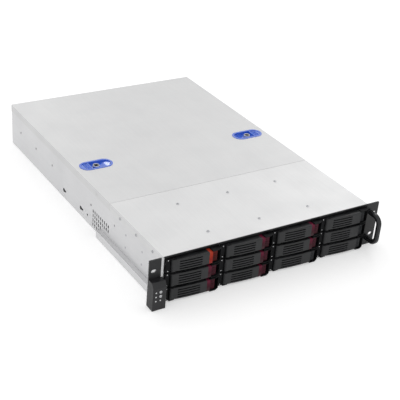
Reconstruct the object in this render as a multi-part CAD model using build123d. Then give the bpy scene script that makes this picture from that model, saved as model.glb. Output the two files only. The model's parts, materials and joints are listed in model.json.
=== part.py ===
from build123d import *
import os

os.makedirs("parts", exist_ok=True)

# All sizes are in millimetres. X runs to the right as seen from the front, Y from the front to the rear
# and Z up. Pieces are drawn with Y counted from the rack face, which is the back of the ears.

# Rack standard
rack_width = 482.6
rack_unit = 44.45
units = 2
stack_gap = 0.9
rack_slot_inset = 8.75
rack_slot_length = 10.0
rack_slot_height = 7.0

# Body shell
ear_reach = 26.3
body_depth = 650.0
sheet = 1.2
cover_sheet = 1.0
slide_gap = 0.1
lip_width = 9.0
flange_drop = 15.0
front_cover_depth = 190.0
seam_gap = 0.6
cover_travel = 18.0

# Ears, trim and handle
ear_thickness = 2.5
bare_strip = 4.0
trim_drop = 2.8
handle_reach = 34.0
handle_span = 54.0
handle_bar = 9.0
handle_bend = 14.0
handle_inset = 20.3
handle_foot = 6.2
handle_washer = 1.5

# Control block on the left ear
block_height = 52.0
block_projection = 17.5
block_width = 25.0
block_corner = 1.5
block_slope = 9.0
block_setback = 6.3
key_radius = 2.5
key_length = 7.0
key_proud = 0.8
key_travel = 1.5
key_gap = 0.3
mark_pitch_x = 8.4
mark_pitch_z = 8.2
mark_first_x = 5.6
mark_first_z = 19.0
lamp_radius = 1.3
lamp_depth = 0.8

# Runners on the lower front of the sides
runner_reach = 8.9
runner_height = 15.0
runner_lift = 1.0
runner_end = 226.0

# Drive cage
columns = 4
rows = 3
cage_sheet = 1.0
cage_depth = 183.0
row_headroom = 2.8

# Drive trays
tray_play = 0.5
tray_height = 25.8
tray_lift = 0.3
tray_floor = 1.2
tray_rail = 1.0
tray_rail_height = 15.0
tray_length = 160.0
tray_sill = 22.05
tray_window_y = 100.0
drive_width = 101.6
drive_length = 147.0
bezel_front = 4.0
bezel_back = 5.0
bezel_recess = 1.0
lamp_strip = 8.0
post_width = 1.6
guard_reach = 8.5
guard_slope = 4.0
stem_tail = 0.6
tray_withdrawal = 155.0

# Levers on the trays
lever_left = 9.4
lever_eye = 4.4
lever_bow = 3.6
lever_tip = 4.2
lever_edge = 1.2
lever_wall = 2.0
lever_stub = 1.0
stub_gap = 0.05
stub_length = 1.2
lug_thickness = 1.3
lug_gap = 0.3
lever_opening = 50.0
vent_slot_height = 2.4
vent_slot_pitch = 4.7
vent_slot_rows = 4
vent_start = 13.5
vent_end = 19.5

# Release buttons on the trays
release_width = 11.5
guard_run = 7.8
release_projection = 5.5
release_travel = 2.5
release_gap = 0.4
release_grip = 1.1
release_grip_pitch = 4.0
release_inset = 3.0
release_guide = 0.3

# Backplane
board_thickness = 1.6
backplane_gap = 2.0
backplane_height = 80.0
connector_width = 34.0
connector_height = 6.0
connector_depth = 8.0
board_slot_margin = 12.55
board_slot_height = 6.0
board_slot_rise = 21.0

# Fans
fan_count = 3
fan_size = 80.0
fan_depth = 38.0
fan_side_gap = 40.7
fan_bore = 38.0
fan_hub = 17.0
fan_blades = 7
blade_tip = 36.8
blade_depth = 22.0
blade_thickness = 1.6
blade_chord = 21.0
blade_camber = 3.0
blade_angle = 45.0
hub_face = 2.0
fan_seat = 4.0
fan_seat_gap = 1.5
fan_strut = 3.0
fan_wall_y = 236.0
fan_lift = 1.4
shaft_radius = 2.0
shaft_gap = 0.05

# Rear panel
io_height = 44.45
io_sill = 7.0
io_psu_gap = 13.7
expansion_slots = 7
slot_pitch = 20.32
slot_opening = 12.0
slot_height = 66.0
slot_io_gap = 17.25
slot_side = 22.78
slot_cover_width = 18.4
slot_cover_sheet = 0.86
psu_width = 88.0
psu_height = 80.0
psu_margin = 3.0
rear_vent_share = 0.485
rear_vent_height = 16.0
rear_vent_margin = 20.15
rear_vent_count = 22

# Board standoffs on the floor
standoff_height = 6.35
standoff_radius = 3.4
standoff_hole = 1.5
board_middle_x = 0.5586
board_holes_y = (0.0, 154.94, 227.33)
board_hole_side = 4.0
board_left_margin = 34.76
board_hole_rear = 12.5

# Cover latches
latch_inset = 43.0
latch_y = 334.0
latch_length = 67.0
latch_width = 33.0
latch_rim = 2.6
latch_rise = 0.8
latch_depth = 6.0
latch_wall = 1.2
latch_travel = 5.0
latch_gap = 0.3
latch_hole = 7.5
thumb_length = 17.2
thumb_ribs = 4
rib_groove = 1.8
rib_depth = 1.2
ramp_slope = 14.0
ramp_share = 0.7
tongue_width = 12.0
tongue_sheet = 1.6
tongue_reach = 4.5
notch_play = 1.0

# Side vents, rail holes and fasteners
side_vent_width = 3.0
side_vent_height = 6.4
side_vent_pitch_y = 7.7
side_vent_pitch_z = 9.2
side_vent_first_y = 196.0
side_vent_first_z = 9.0
side_vent_columns = 9
side_vent_short = 5
keyhole_places = ((310.0, 16.2), (386.0, 16.2))
hole_places = ((281.0, 16.6), (267.0, 45.0), (173.0, 52.0))
rear_hole_inset = 48.0
rear_hole_pitch = 80.0
rear_hole_count = 3
rear_hole_z = 43.0
side_hole = 2.0
screw_head = 2.9
screw_rise = 0.6
screw_shank = 1.5
screw_gap = 0.1
top_screw_rows = (38.0, 141.0)
side_screw_rows = (35.0, 92.0, 151.0)
stud_row = 246.0
rivet_head = 2.2
rivet_rise = 0.5
rivet_rows = (71.0, 130.0)
rivet_heights = (31.0, 56.0)

# Sizes that follow from those above
height = units * rack_unit - stack_gap
half_rack = rack_width / 2
half_width = half_rack - ear_reach
rack_slot_x = half_rack - rack_slot_inset
handle_x = half_rack - handle_inset
cover_bottom = height - cover_sheet
wall_outer = half_width - cover_sheet - slide_gap
wall_inner = wall_outer - sheet
slot_low = rack_unit / 2 - stack_gap / 2
slot_high = slot_low + (units - 1) * rack_unit
panel_front = body_depth - sheet
flange_bottom = height - flange_drop
column_pitch = (2 * wall_inner - cage_sheet) / columns
bay_width = column_pitch - cage_sheet
row_pitch = (height - row_headroom - sheet) / rows
cage_top = cover_bottom - cage_sheet
tray_width = bay_width - 2 * tray_play
lever_length = tray_width - lever_left - release_gap - release_width - guard_run
vent_slot_length = lever_length - vent_start - vent_end
handle_front = ear_thickness + handle_reach
lever_height = tray_height - 2 * (lug_thickness + lug_gap)
lever_y = -bezel_front
release_left = lever_left + lever_length + release_gap
release_height = tray_height - 2 * (lug_thickness + 2 * lug_gap)
backplane_y = cage_depth + backplane_gap
fan_y = fan_wall_y + sheet
fan_pitch = (2 * (wall_inner - fan_side_gap) - fan_size) / (fan_count - 1)
psu_right = wall_inner - psu_margin
io_right = psu_right - psu_width - io_psu_gap
slot_first = slot_side - wall_inner + (expansion_slots - 1) * slot_pitch
io_width = io_right - slot_first - slot_io_gap
rear_vent_pitch = (io_width - rear_vent_margin) / (rear_vent_count - 1)
rear_vent_width = rear_vent_share * rear_vent_pitch
board_hole_right = io_right - board_hole_side
board_span = board_hole_right + wall_inner - board_left_margin
board_holes_x = (0.0, board_middle_x * board_span, board_span)
cover_start = front_cover_depth + seam_gap
latch_x = half_width - latch_inset
latch_floor = height - latch_depth
origin_shift = (handle_front - body_depth) / 2


def span(x, y, z):
    """A block between two values on each axis."""
    centre = [(pair[0] + pair[1]) / 2 for pair in (x, y, z)]
    size = [abs(pair[1] - pair[0]) for pair in (x, y, z)]
    return Pos(*centre) * Box(*size)


def rod(radius, start, length, direction):
    """A round bar from a point along a direction."""
    return extrude(Plane(start, z_dir=direction) * Circle(radius), length)


def keep(pieces, name):
    """Write one node, moved so that the origin lies under the middle of the body."""
    pieces = pieces if isinstance(pieces, list) else [pieces]
    placed = [Pos(0, origin_shift, 0) * solid for piece in pieces for solid in piece.solids()]
    whole = placed[0] if len(placed) == 1 else Compound(children=placed)
    export_step(whole, os.path.join("parts", name + ".step"))


def rack_slot(x, z, depth):
    """The oval slot of a rack screw, cut along Y through a plate of the given depth."""
    plane = Plane((x, -depth, z), x_dir=(1, 0, 0), z_dir=(0, 1, 0))
    return extrude(plane * SlotOverall(rack_slot_length, rack_slot_height), 3 * depth)


def rack_slots(side, depth):
    """Slots of one ear; the control block covers the lower left place, which has none."""
    heights = (slot_high,) if side < 0 else (slot_low, slot_high)
    return [rack_slot(side * rack_slot_x, z, depth) for z in heights]


def keyhole(y, z):
    """A rail keyhole: a round head with a narrow neck towards the front, cut through both walls."""
    cut = Plane((0, y, z), x_dir=(0, 1, 0), z_dir=(1, 0, 0))
    shape = Circle(2 * side_hole) + Pos(-3 * side_hole, 0) * Rectangle(4 * side_hole, 2 * side_hole)
    return extrude(cut * shape, half_rack, both=True)


def wall_cutter(y, z, width, tall):
    """A rectangular cut through both side walls."""
    return span((-half_rack, half_rack), (y - width / 2, y + width / 2), (z - tall / 2, z + tall / 2))


def side_vents():
    """Two full rows of upright slots over two shorter rows at their rear end."""
    cuts = []
    for row in range(4):
        first = 0 if row >= 2 else side_vent_columns - side_vent_short
        for column in range(first, side_vent_columns):
            y = side_vent_first_y + column * side_vent_pitch_y
            z = side_vent_first_z + row * side_vent_pitch_z
            cuts.append(wall_cutter(y, z, side_vent_width, side_vent_height))
    return cuts


def side_holes():
    first = body_depth - rear_hole_inset
    rear = [(first - index * rear_hole_pitch, rear_hole_z) for index in range(rear_hole_count)]
    return list(hole_places) + rear


def standoff_places():
    rear = panel_front - board_hole_rear
    return [(board_hole_right - dx, rear - dy) for dx in board_holes_x for dy in board_holes_y]


def base_pan():
    """Folded tray: floor, side walls with inward lips and outward flanges for the ears, and its holes."""
    pan = span((-wall_outer, wall_outer), (0, body_depth), (0, sheet))
    for side in (-1, 1):
        wall = span((side * wall_inner, side * wall_outer), (0, body_depth), (0, cover_bottom))
        lip_edge = side * (wall_inner - lip_width)
        lip_start = cage_depth + backplane_gap / 2
        lip_wide = (lip_edge, side * wall_outer)
        lip = span(lip_wide, (lip_start, panel_front), (cover_bottom - sheet, cover_bottom))
        flange = span((side * wall_inner, side * half_rack), (0, sheet), (0, cover_bottom))
        notch_x = (lip_edge - side, lip_edge + side * tongue_reach)
        notch_end = tongue_width / 2 + notch_play
        notch_y = (latch_y - notch_end, latch_y + notch_end + cover_travel)
        lip -= span(notch_x, notch_y, (cover_bottom - 2 * sheet, height))
        pan += wall + lip + flange
        pan -= rack_slots(side, sheet)
    pan -= side_vents()
    pan -= [keyhole(y, z) for y, z in keyhole_places]
    pan -= [rod(side_hole, (-half_rack, y, z), rack_width, (1, 0, 0)) for y, z in side_holes()]
    hole = screw_shank + screw_gap
    pan -= [rod(hole, (-half_rack, y, z), rack_width, (1, 0, 0)) for y, z in side_screws()]
    pan -= [rod(standoff_hole, (x, y, 0), sheet, (0, 0, 1)) for x, y in standoff_places()]
    return pan


def standoffs():
    """Hexagonal threaded posts pressed onto the floor, one under each hole of the main board."""
    post = extrude(RegularPolygon(standoff_radius, 6) - Circle(standoff_hole), standoff_height)
    return [Pos(x, y, sheet) * post for x, y in standoff_places()]


def rear_panel():
    """Rear wall with the board's connector window, expansion slots, supply opening and vents."""
    panel = span((-wall_inner, wall_inner), (panel_front, body_depth), (sheet, cover_bottom))
    through = (panel_front - sheet, body_depth + sheet)
    panel -= span((io_right - io_width, io_right), through, (io_sill, io_sill + io_height))
    panel -= psu_space(*through)
    base = sheet + psu_margin
    for index in range(expansion_slots):
        x = slot_first - index * slot_pitch
        panel -= span((x - slot_opening / 2, x + slot_opening / 2), through, (base, base + slot_height))
    middle = (io_sill + io_height + cover_bottom) / 2
    vent_tall = (middle - rear_vent_height / 2, middle + rear_vent_height / 2)
    for index in range(rear_vent_count):
        x = io_right - io_width / 2 + (index - (rear_vent_count - 1) / 2) * rear_vent_pitch
        panel -= span((x - rear_vent_width / 2, x + rear_vent_width / 2), through, vent_tall)
    return panel


def psu_space(front, back):
    base = sheet + psu_margin
    return span((psu_right - psu_width, psu_right), (front, back), (base, base + psu_height))


def slot_covers():
    """Blank brackets behind the expansion slots, each with a tab folded inwards at its top."""
    covers = []
    for index in range(expansion_slots):
        x = slot_first - index * slot_pitch
        wide = (x - slot_cover_width / 2, x + slot_cover_width / 2)
        top = sheet + 2 * psu_margin + slot_height
        plate = span(wide, (panel_front - slot_cover_sheet, panel_front), (sheet, top))
        tab = span(wide, (panel_front - lip_width, panel_front), (top - slot_cover_sheet, top))
        covers.append(plate + tab)
    return covers


def cover_shell(start, end):
    """Flat lid with a flange folded down each side."""
    lid = span((-half_width, half_width), (start, end), (cover_bottom, height))
    for side in (-1, 1):
        inner = side * (half_width - cover_sheet)
        edge = max(start, sheet + slide_gap)
        lid += span((inner, side * half_width), (edge, end), (flange_bottom, height))
    return lid


def front_cover():
    cover = cover_shell(0, front_cover_depth)
    cover += span((-wall_inner, wall_inner), (0, cover_sheet), (height - trim_drop, height))
    hole = screw_shank + screw_gap
    cover -= [rod(hole, (x, y, cage_top), 3 * cover_sheet, (0, 0, 1)) for x, y in top_screws()]
    cover -= [rod(hole, (-half_rack, y, z), rack_width, (1, 0, 0)) for y, z in side_screws()]
    return cover


def top_cover():
    """Sliding lid with an oval opening for each latch and a pressed stud in each flange."""
    cover = cover_shell(cover_start, body_depth)
    opening = SlotOverall(latch_length - 2 * latch_rim, latch_width - 2 * latch_rim)
    for side in (-1, 1):
        cover -= Pos(side * latch_x, latch_y, cover_bottom - 1) * extrude(opening, 3 * cover_sheet)
        stud_start = (side * half_width, stud_row, flange_bottom + flange_drop / 3)
        cover += rod(rivet_head, stud_start, rivet_rise, (side, 0, 0))
    return cover


def top_screws():
    return [(column * column_pitch, y) for column in (-1, 0, 1) for y in top_screw_rows]


def side_screws():
    return [(y, flange_bottom + flange_drop / 3) for y in side_screw_rows]


def screw(start, direction, grip):
    """A pan-head screw whose head rests at the start point."""
    back = tuple(-value for value in direction)
    shank = extrude(Plane(start, z_dir=back) * RegularPolygon(screw_shank, 6), grip)
    return rod(screw_head, start, screw_rise, direction) + shank


def case_fasteners():
    """Cover screws on the top and in the flanges, and the cage's rivet heads on the side walls."""
    pieces = [screw((x, y, height), (0, 0, 1), cover_sheet + cage_sheet) for x, y in top_screws()]
    for side in (-1, 1):
        grip = half_width - wall_inner
        pieces += [screw((side * half_width, y, z), (side, 0, 0), grip) for y, z in side_screws()]
        for y in rivet_rows:
            for z in rivet_heights:
                pieces.append(rod(rivet_head, (side * wall_outer, y, z), rivet_rise, (side, 0, 0)))
    return pieces


def front_trim():
    """Dark strip that closes the front edge of the cover above the trays."""
    return span((-wall_inner, wall_inner), (-ear_thickness, 0), (height - trim_drop, height))


def ear(side):
    """Flat rack ear with its oval slots."""
    inner = half_width + bare_strip if side < 0 else wall_inner
    plate = span((side * inner, side * half_rack), (-ear_thickness, 0), (0, height))
    corners = plate.edges().filter_by(Axis.Y).group_by(Axis.X)[0 if side < 0 else -1]
    plate = fillet(corners, ear_thickness / 2)
    plate -= rack_slots(side, ear_thickness)
    return plate


def control_block():
    """Control housing on the left ear: sloped shoulder, two key wells and four lamp wells."""
    left = -half_rack
    front = -ear_thickness - block_projection
    outline = Polyline(
        (-ear_thickness, 0),
        (front, 0),
        (front, block_height - block_slope),
        (front + block_setback, block_height),
        (-ear_thickness, block_height),
        close=True,
    )
    housing = extrude(Plane.YZ * make_face(outline), block_width)
    housing = Pos(left, 0, 0) * housing
    housing = fillet(housing.faces().sort_by(Axis.Y)[0].edges(), block_corner)
    for x, z in key_places():
        housing -= rod(key_radius + key_gap, (x, front - 1, z), key_length + key_travel + 1, (0, 1, 0))
    for x, z in lamp_places():
        housing -= rod(lamp_radius, (x, front - 1, z), lamp_depth + 1, (0, 1, 0))
    return housing


def mark_place(column, row):
    return -half_rack + mark_first_x + column * mark_pitch_x, mark_first_z + row * mark_pitch_z


def key_places():
    return [mark_place(1, 2), mark_place(1, 1)]


def lamp_places():
    return [mark_place(0, 0), mark_place(0, 1), mark_place(0, 2), mark_place(1, 0)]


def key(place):
    """A short round push button with a rounded rim."""
    start = -ear_thickness - block_projection - key_proud
    cap = rod(key_radius, (place[0], start, place[1]), key_length, (0, 1, 0))
    return chamfer(cap.faces().sort_by(Axis.Y)[0].edges(), key_proud / 2)


def ear_handle():
    """Bow handle of flat bar with broken edges, with a foot washer at each leg."""
    middle = height / 2
    low = middle - handle_span / 2
    high = middle + handle_span / 2
    front = -handle_front + handle_bar / 2
    path = FilletPolyline(
        (handle_x, -ear_thickness, low),
        (handle_x, front, low),
        (handle_x, front, high),
        (handle_x, -ear_thickness, high),
        radius=handle_bend,
    )
    section = chamfer(Rectangle(handle_bar, handle_bar).vertices(), handle_bar / 4)
    bar = sweep(Plane((handle_x, -ear_thickness, low), x_dir=(1, 0, 0), z_dir=(0, -1, 0)) * section, path=path)
    for z in (low, high):
        bar += rod(handle_foot, (handle_x, -ear_thickness - handle_washer, z), handle_washer, (0, 1, 0))
    return bar


def side_runners():
    """Folded ledges low on each side, closed at the rear."""
    pieces = []
    for side in (-1, 1):
        across = (side * wall_outer, side * (wall_outer + runner_reach))
        hollow = (side * (wall_outer - 1), side * (wall_outer + runner_reach - sheet))
        along = (sheet, runner_end)
        tall = (runner_lift, runner_lift + runner_height)
        ledge = span(across, along, tall)
        ledge -= span(hollow, (along[0] - 1, along[1] - sheet), (tall[0] + sheet, tall[1] - sheet))
        pieces.append(ledge)
    return pieces


def drive_cage():
    """Upright partitions, a shelf strip in each bay and a top plate, all of flat sheet."""
    plates = []
    for index in range(columns + 1):
        x = (index - columns / 2) * column_pitch
        plates.append(
            span((x - cage_sheet / 2, x + cage_sheet / 2), (cover_sheet, cage_depth), (sheet, cage_top))
        )
    for index in range(columns):
        left = (index - columns / 2) * column_pitch + cage_sheet / 2
        for row in range(1, rows):
            top = sheet + row * row_pitch
            plates.append(span((left, left + bay_width), (cover_sheet, cage_depth), (top - cage_sheet, top)))
    lid = span((-wall_inner, wall_inner), (cover_sheet, cage_depth), (cage_top, cover_bottom))
    hole = screw_shank + screw_gap
    lid -= [rod(hole, (x, y, cage_top - 1), 3 * cage_sheet, (0, 0, 1)) for x, y in top_screws()]
    return plates + [lid]


def backplane():
    """Drive board behind the cage with one socket for each tray."""
    centre = sheet + standoff_height / 2 + backplane_height / 2
    tall = (centre - backplane_height / 2, centre + backplane_height / 2)
    pieces = [span((-wall_inner, wall_inner), (backplane_y, backplane_y + board_thickness), tall)]
    for column in range(columns):
        for row in range(rows):
            x, z = bay_place(column, row)
            x += bay_width / 2
            pieces.append(
                span(
                    (x - connector_width / 2, x + connector_width / 2),
                    (backplane_y - connector_depth, backplane_y),
                    (z + tray_height / 2 - connector_height / 2, z + tray_height / 2 + connector_height / 2),
                )
            )
    for index in range(columns):
        x = (index - (columns - 1) / 2) * column_pitch
        slot_z = centre + board_slot_rise
        pieces[0] -= span(
            (x - bay_width / 2 + board_slot_margin, x + bay_width / 2 - board_slot_margin),
            (backplane_y - sheet, backplane_y + 2 * board_thickness),
            (slot_z - board_slot_height / 2, slot_z + board_slot_height / 2),
        )
    return pieces


def fan_places():
    return [(index - (fan_count - 1) / 2) * fan_pitch for index in range(fan_count)]


def fan_centre():
    return sheet + fan_lift + fan_size / 2


def fan_wall():
    """Cross wall with a round opening at each fan and a foot folded to the rear."""
    wall = span((-wall_inner, wall_inner), (fan_wall_y, fan_wall_y + sheet), (sheet, cover_bottom - sheet))
    for x in fan_places():
        wall -= rod(fan_bore, (x, fan_wall_y - 1, fan_centre()), 3 * sheet, (0, 1, 0))
    return wall


def fan_frames():
    """Square fan housings with a motor seat held by four struts at the outlet."""
    frames = []
    for x in fan_places():
        centre = (x, fan_y, fan_centre())
        half = fan_size / 2
        frame = span((x - half, x + half), (fan_y, fan_y + fan_depth), (centre[2] - half, centre[2] + half))
        frame -= rod(fan_bore, (x, fan_y - 1, centre[2]), fan_depth + 2, (0, 1, 0))
        seat_y = fan_y + fan_depth - fan_seat
        frame += rod(fan_hub, (x, seat_y, centre[2]), fan_seat, (0, 1, 0))
        for angle in (45, 135):
            strut = Rot(0, angle, 0) * Box(2 * fan_bore + 1, fan_seat, fan_strut)
            frame += Pos(x, seat_y + fan_seat / 2, centre[2]) * strut
        shaft_length = blade_depth - hub_face
        frame += rod(shaft_radius, (x, seat_y - shaft_length, centre[2]), shaft_length, (0, 1, 0))
        frames.append(frame)
    return frames


def blade():
    """A cambered fan blade, pitched to the air and run out from the hub."""
    half = blade_chord / 2
    outer = blade_camber + blade_thickness / 2
    inner = blade_camber - blade_thickness / 2
    outline = [
        ThreePointArc((-half, blade_thickness / 2), (0, outer), (half, blade_thickness / 2)),
        Line((half, blade_thickness / 2), (half, -blade_thickness / 2)),
        ThreePointArc((half, -blade_thickness / 2), (0, inner), (-half, -blade_thickness / 2)),
        Line((-half, -blade_thickness / 2), (-half, blade_thickness / 2)),
    ]
    root = Plane((fan_hub - blade_thickness, 0, 0), x_dir=(0, 1, 0), z_dir=(1, 0, 0))
    return extrude(root * (Rot(0, 0, blade_angle) * make_face(outline)), blade_tip - fan_hub)


def fan_rotor(x):
    """Cup-shaped hub with its blades, bored for the shaft."""
    middle = fan_y + fan_depth - fan_seat - fan_seat_gap - blade_depth / 2
    rotor = rod(fan_hub, (0, -blade_depth / 2, 0), blade_depth, (0, 1, 0))
    for index in range(fan_blades):
        rotor += Rot(0, index * 360 / fan_blades, 0) * blade()
    rotor -= rod(shaft_radius + shaft_gap, (0, -blade_depth / 2 + hub_face, 0), blade_depth, (0, 1, 0))
    return Pos(x, middle, fan_centre()) * rotor


def bay_place(column, row):
    """Left edge and floor of a drive bay."""
    x = (column - columns / 2) * column_pitch + cage_sheet / 2
    return x, sheet + row * row_pitch


def tray_carrier():
    """Open carrier that holds the drive: a floor with a window and a low rail along each side."""
    along = (bezel_back, tray_length)
    carrier = span((0, tray_width), along, (0, tray_floor))
    for x in (0, tray_width - tray_rail):
        carrier += span((x, x + tray_rail), along, (0, tray_rail_height))
    middle = (tray_length + bezel_back) / 2
    window_y = (middle - tray_window_y / 2, middle + tray_window_y / 2)
    return carrier - span((tray_sill, tray_width - tray_sill), window_y, (-1, tray_floor + 1))


def tray_bezel():
    """Front of a tray: lamp strip, lever recess with hinge lugs, button well and the guard round it."""
    bezel = span((0, tray_width), (-bezel_front, bezel_back), (0, tray_height))
    lug_front = lever_y - lever_eye + lever_edge
    lug_end = lever_left + 2 * lever_eye
    cut_back = (-bezel_front - 1, bezel_recess)
    bezel -= span((lamp_strip, tray_width + 1), cut_back, (lug_thickness, tray_height - lug_thickness))
    bezel -= span((lug_end, tray_width + 1), cut_back, (-1, tray_height + 1))
    bezel += button_guard()
    for z in (0, tray_height - lug_thickness):
        bezel += span((lamp_strip, lug_end), (lug_front, bezel_recess), (z, z + lug_thickness))
    wide, tall = vent_window()
    bezel -= span(wide, (bezel_recess - 1, bezel_back + 1), tall)
    pocket = (bezel_recess - 1, bezel_recess + release_travel + 2 * release_guide + stem_tail)
    bezel -= span(release_stem(release_guide), pocket, release_band(release_inset - release_guide))
    pivot = lever_left + lever_eye
    bezel -= rod(lever_stub + stub_gap, (pivot, lever_y, -1), tray_height + 2, (0, 0, 1))
    return bezel


def button_guard():
    """Upper and lower rails that run past the release button and fall back to a post at the right end."""
    left = lever_left + lever_length + release_gap
    outline = Polyline(
        (left, bezel_recess),
        (left, lever_y - guard_reach),
        (left + release_width, lever_y - guard_reach),
        (tray_width, lever_y - guard_reach + guard_slope),
        (tray_width, bezel_recess),
        close=True,
    )
    rails = extrude(make_face(outline), tray_height)
    between = (left - 1, tray_width - post_width)
    rails -= span(between, (-2 * guard_reach - bezel_front, bezel_recess), release_band(-lug_gap))
    return rails


def vent_window():
    """Width and height of the slotted zone of a lever, and of the window behind it."""
    tall = (vent_slot_rows - 1) * vent_slot_pitch + vent_slot_height
    left = lever_left + vent_start
    return (left, left + vent_slot_length), ((tray_height - tall) / 2, (tray_height + tall) / 2)


def release_band(inset):
    low = (tray_height - release_height) / 2
    return (low + inset, tray_height - low - inset)


def release_stem(play):
    """Width taken by the guide stem behind a release button, with the given play at each side."""
    left = release_left + release_inset
    return (left - play, left + release_width - 2 * release_inset + play)


def tray_lever():
    """Bowed lever, slotted for air, that swings on two stubs at its left end."""
    pivot = lever_left + lever_eye
    right = lever_left + lever_length
    front = lever_y - lever_eye
    outline = [
        ThreePointArc((pivot, lever_y + lever_eye), (lever_left, lever_y), (pivot, front)),
        ThreePointArc((pivot, front), ((pivot + right) / 2, front - lever_bow), (right, front - lever_tip)),
        Line((right, front - lever_tip), (right, lever_y + lever_eye)),
        Line((right, lever_y + lever_eye), (pivot, lever_y + lever_eye)),
    ]
    base = (tray_height - lever_height) / 2
    body = Pos(0, 0, base) * extrude(make_face(outline), lever_height)
    body = chamfer(bow_edges(body), lever_edge)
    pocket_back = front + lever_eye / 2
    inner = (base + lever_wall, base + lever_height - lever_wall)
    body -= span((pivot + lever_eye, right - lever_eye), (pocket_back, lever_y + 2 * lever_eye), inner)
    wide, (low, _) = vent_window()
    for row in range(vent_slot_rows):
        z = low + row * vent_slot_pitch
        body -= span(wide, (front - 2 * lever_bow, pocket_back + lever_edge), (z, z + vent_slot_height))
    stub_base = base - lug_gap - stub_length
    body += rod(lever_stub, (pivot, lever_y, stub_base), lever_height + 2 * (lug_gap + stub_length), (0, 0, 1))
    return body


def bow_edges(body):
    """The long curved edges on the front of a lever."""
    arcs = body.edges().filter_by(GeomType.CIRCLE)
    return arcs.filter_by(lambda edge: edge.length > lever_length / 2)


def tray_release():
    """Release button with raised grip bars on its face."""
    wide = (release_left, release_left + release_width)
    low, high = release_band(0)
    front = lever_y - release_projection
    button = span(wide, (front, bezel_recess - release_travel - release_guide), (low, high))
    button = chamfer(button.faces().sort_by(Axis.Y)[0].edges(), lever_edge)
    for index in (-1, 0, 1):
        z = (low + high) / 2 + index * release_grip_pitch
        button += span(
            (wide[0] + release_inset, wide[1] - release_inset),
            (front - release_grip / 2, front + release_grip / 2),
            (z - release_grip / 2, z + release_grip / 2),
        )
    stem = span(release_stem(0), (front + 2, bezel_recess + stem_tail), release_band(release_inset))
    return button + stem


def latch_bezel(side):
    """Oval finger well of a cover latch, with a raised rim, a sloped inner end and a round hole."""
    rim = SlotOverall(latch_length, latch_width)
    sunk = 2 * (latch_rim + latch_gap)
    body = SlotOverall(latch_length - sunk, latch_width - sunk)
    inset = sunk + 2 * latch_wall
    well = SlotOverall(latch_length - inset, latch_width - inset)
    part = Pos(0, 0, height) * extrude(rim, latch_rise)
    part += Pos(0, 0, latch_floor) * extrude(body, latch_depth)
    pocket = Pos(0, 0, latch_floor + latch_wall) * extrude(well, latch_depth + latch_rise)
    ramp = Rot(0, ramp_slope, 0) * Box(latch_length * ramp_share, latch_width, latch_depth)
    ramp = Pos(-latch_length / 2, 0, latch_floor) * ramp
    part -= pocket - ramp
    part -= rod(latch_hole, (0, 0, latch_floor), latch_wall, (0, 0, 1))
    slot_x = latch_length / 2 - latch_rim - latch_gap
    part -= span(
        (0, slot_x + 1), (-tongue_width / 2 - latch_gap, tongue_width / 2 + latch_gap), tongue_band(latch_gap)
    )
    return Pos(side * latch_x, latch_y, 0) * (part if side > 0 else mirror(part, about=Plane.YZ))


def tongue_band(play):
    top = cover_bottom - play if play == 0 else cover_bottom - latch_gap + play
    return (top - tongue_sheet - play - latch_gap, top - latch_gap + play)


def latch_button(side):
    """Ribbed thumb slide with the tongue that reaches under the cover to the slot in the wall's lip."""
    inset = 2 * (latch_rim + 2 * latch_gap + latch_wall)
    pad = SlotOverall(latch_length - inset, latch_width - inset)
    floor = latch_floor + latch_wall + latch_gap / 3
    button = Pos(0, 0, floor) * extrude(pad, height - floor)
    start = latch_length / 2 - inset / 2 - thumb_length
    button -= span((-latch_length, start), (-latch_width, latch_width), (0, 2 * height))
    for index in range(thumb_ribs):
        x = start + (index + 1) * thumb_length / (thumb_ribs + 2)
        groove = (x - rib_groove / 2, x + rib_groove / 2)
        button -= span(groove, (-latch_width, latch_width), (height - rib_depth, height + rib_depth))
    reach = wall_inner - lip_width + tongue_reach - latch_gap - latch_x
    low = cover_bottom - tongue_sheet - latch_gap
    button += span((start + 2, reach), (-tongue_width / 2, tongue_width / 2), (low, low + tongue_sheet))
    return Pos(side * latch_x, latch_y, 0) * (button if side > 0 else mirror(button, about=Plane.YZ))


def main():
    keep([base_pan()] + standoffs(), "base_pan")
    keep(rear_panel(), "rear_panel")
    keep(slot_covers(), "slot_covers")
    keep(front_cover(), "front_cover")
    keep(top_cover(), "top_cover")
    keep(case_fasteners(), "case_fasteners")
    keep(front_trim(), "front_trim")
    keep(ear(-1), "left_ear")
    keep(ear(1), "right_ear")
    keep(control_block(), "control_block")
    keep(key(key_places()[0]), "power_button")
    keep(key(key_places()[1]), "reset_button")
    keep(ear_handle(), "ear_handle")
    keep(side_runners(), "side_runners")
    keep(drive_cage(), "drive_cage")
    keep(backplane(), "backplane")
    keep(fan_wall(), "fan_wall")
    keep(fan_frames(), "fan_frames")
    for index, x in enumerate(fan_places(), start=1):
        keep(fan_rotor(x), f"fan_rotor_{index}")
    keep([latch_bezel(-1), latch_bezel(1)], "latch_bezels")
    keep(latch_button(-1), "left_latch_button")
    keep(latch_button(1), "right_latch_button")
    tray = [tray_bezel(), tray_carrier()]
    lever, release = tray_lever(), tray_release()
    for row in range(rows):
        for column in range(columns):
            number = (rows - 1 - row) * columns + column + 1
            x, z = bay_place(column, row)
            place = Pos(x + tray_play, 0, z + tray_lift)
            keep([place * piece for piece in tray], f"drive_tray_{number}")
            keep(place * lever, f"tray_lever_{number}")
            keep(place * release, f"tray_release_{number}")


main()
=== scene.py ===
import json
import math

import bmesh
import bpy
from bpy.props import FloatProperty, FloatVectorProperty, IntProperty, PointerProperty
from bpy.types import Operator, Panel, PropertyGroup
from mathutils import Matrix, Vector


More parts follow.
